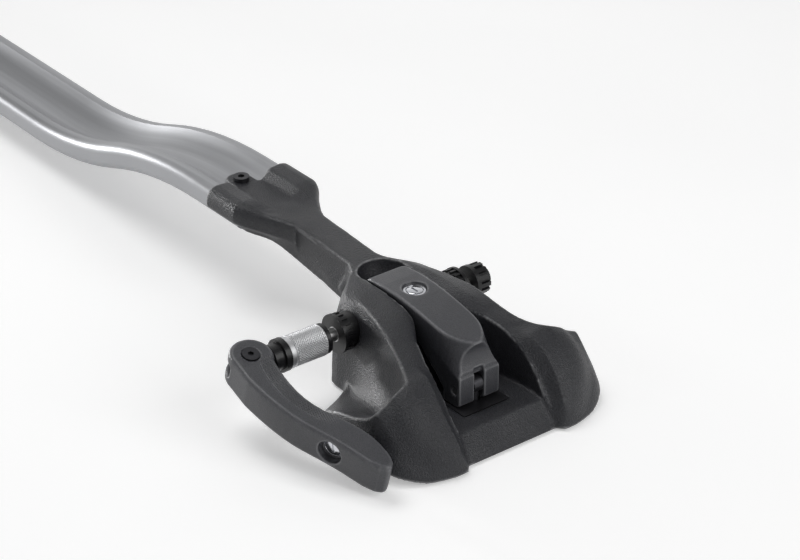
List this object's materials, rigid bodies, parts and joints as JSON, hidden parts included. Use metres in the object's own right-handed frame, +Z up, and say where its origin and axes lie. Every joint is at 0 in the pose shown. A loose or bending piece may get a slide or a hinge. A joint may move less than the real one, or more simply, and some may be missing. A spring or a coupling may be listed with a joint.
{
  "type": "roof bike carrier",
  "caption": "Roof bike carrier with a moulded clamp head for a fork's ends, a quick-release skewer, a bent aluminium wheel rail, a rear bar foot and a strapped wheel tray.",
  "frame": {"origin": "on the clamp bolt's axis, at the top of the front roof bar", "axes": "+Y to the rear along the rail, +Z up, +X to the right, with the skewer's lever on the left"},
  "size_m": [0.2171, 1.375, 0.0942],
  "materials": {
    "housing_plastic": "black glass-filled plastic with a fine spark-eroded grain",
    "lever_plastic": "black grained plastic",
    "trim_plastic": "black plastic",
    "rear_plastic": "black grained plastic",
    "pad_rubber": "matt black rubber",
    "strap_rubber": "satin black rubber",
    "anodised_aluminium": "satin anodised",
    "nut_metal": "bright knurled",
    "zinc_steel": "zinc plated",
    "dark_steel": "black oxide",
    "lock_chrome": "polished"
  },
  "bodies": {
    "base": {"head_housing": "housing_plastic", "saddle_pad": "pad_rubber", "axle_sleeve": "zinc_steel", "fork_seat_left": "trim_plastic", "fork_seat_right": "trim_plastic", "cam_plate": "dark_steel", "tongue_screw": "dark_steel", "rail": "anodised_aluminium", "rail_end_cap": "trim_plastic"},
    "clamp_bolt": {"clamp_bolt": "dark_steel", "clamp_pin": "zinc_steel"},
    "clamp_lever": {"clamp_lever": "lever_plastic", "clamp_lock_barrel": "lock_chrome"},
    "clamp_lock": {"clamp_lock_core": "lock_chrome"},
    "skewer": {"skewer_rod": "zinc_steel", "end_nut": "trim_plastic", "lever_pin": "dark_steel"},
    "adjuster": {"adjuster_nut": "nut_metal", "nut_washer": "trim_plastic", "cam_collar": "trim_plastic"},
    "skewer_lever": {"skewer_lever": "lever_plastic", "lever_lock_barrel": "lock_chrome"},
    "lever_lock": {"lever_lock_core": "lock_chrome"},
    "rear_foot": {"rear_foot": "rear_plastic", "rear_slider": "zinc_steel", "rear_pad": "pad_rubber", "rear_bolt": "zinc_steel"},
    "rear_knob": {"rear_knob": "rear_plastic"},
    "wheel_tray": {"wheel_tray": "rear_plastic", "wheel_strap": "strap_rubber", "strap_anchor_pin": "zinc_steel", "buckle_pin": "zinc_steel"},
    "strap_buckle": {"strap_buckle": "rear_plastic"}
  },
  "joints": [
    {"name": "clamp_bolt_fall", "type": "slide", "parent": "base", "child": "clamp_bolt", "axis": [0, 0, -1], "range_m": [0, 0.0015]},
    {"name": "clamp_lever_lift", "type": "hinge", "parent": "clamp_bolt", "child": "clamp_lever", "pos_m": [0, 0, 0.021], "axis": [1, 0, 0], "range_deg": [0, 100]},
    {"name": "clamp_lock_turn", "type": "hinge", "parent": "clamp_lever", "child": "clamp_lock", "pos_m": [0, 0.0595, 0.0588], "axis": [0, 0, 1], "range_deg": [0, 90]},
    {"name": "skewer_slide", "type": "slide", "parent": "base", "child": "skewer", "axis": [1, 0, 0], "range_m": [0, 0.0015]},
    {"name": "skewer_lever_swing", "type": "hinge", "parent": "skewer", "child": "skewer_lever", "pos_m": [-0.11515, 0.0775, 0.038], "axis": [0, 0.2756, -0.9613], "range_deg": [0, 135]},
    {"name": "lever_lock_turn", "type": "hinge", "parent": "skewer_lever", "child": "lever_lock", "pos_m": [-0.11237, -0.00132, 0.0154], "axis": [-0.9135, -0.391, -0.1121], "range_deg": [0, 90]},
    {"name": "adjuster_turn", "type": "hinge", "parent": "base", "child": "adjuster", "pos_m": [-0.075, 0.0775, 0.038], "axis": [1, 0, 0], "continuous": true},
    {"name": "rear_foot_slide", "type": "slide", "parent": "base", "child": "rear_foot", "axis": [0, 1, 0], "range_m": [-0.15, 0.15]},
    {"name": "rear_knob_turn", "type": "hinge", "parent": "rear_foot", "child": "rear_knob", "pos_m": [-0.0515, 0.7535, 0.02], "axis": [0, 0, 1], "continuous": true},
    {"name": "wheel_tray_slide", "type": "slide", "parent": "base", "child": "wheel_tray", "axis": [0, 1, 0], "range_m": [-0.08, 0.04]},
    {"name": "strap_buckle_open", "type": "hinge", "parent": "wheel_tray", "child": "strap_buckle", "pos_m": [0.0563, 1.1635, 0.0427], "axis": [0, 1, 0], "range_deg": [0, 100]}
  ],
  "couplings": [
    {"joint": "clamp_bolt_fall", "follows": "clamp_lever_lift", "m_per_rad": 0.00085943},
    {"joint": "skewer_slide", "follows": "skewer_lever_swing", "m_per_rad": 0.00063661}
  ]
}
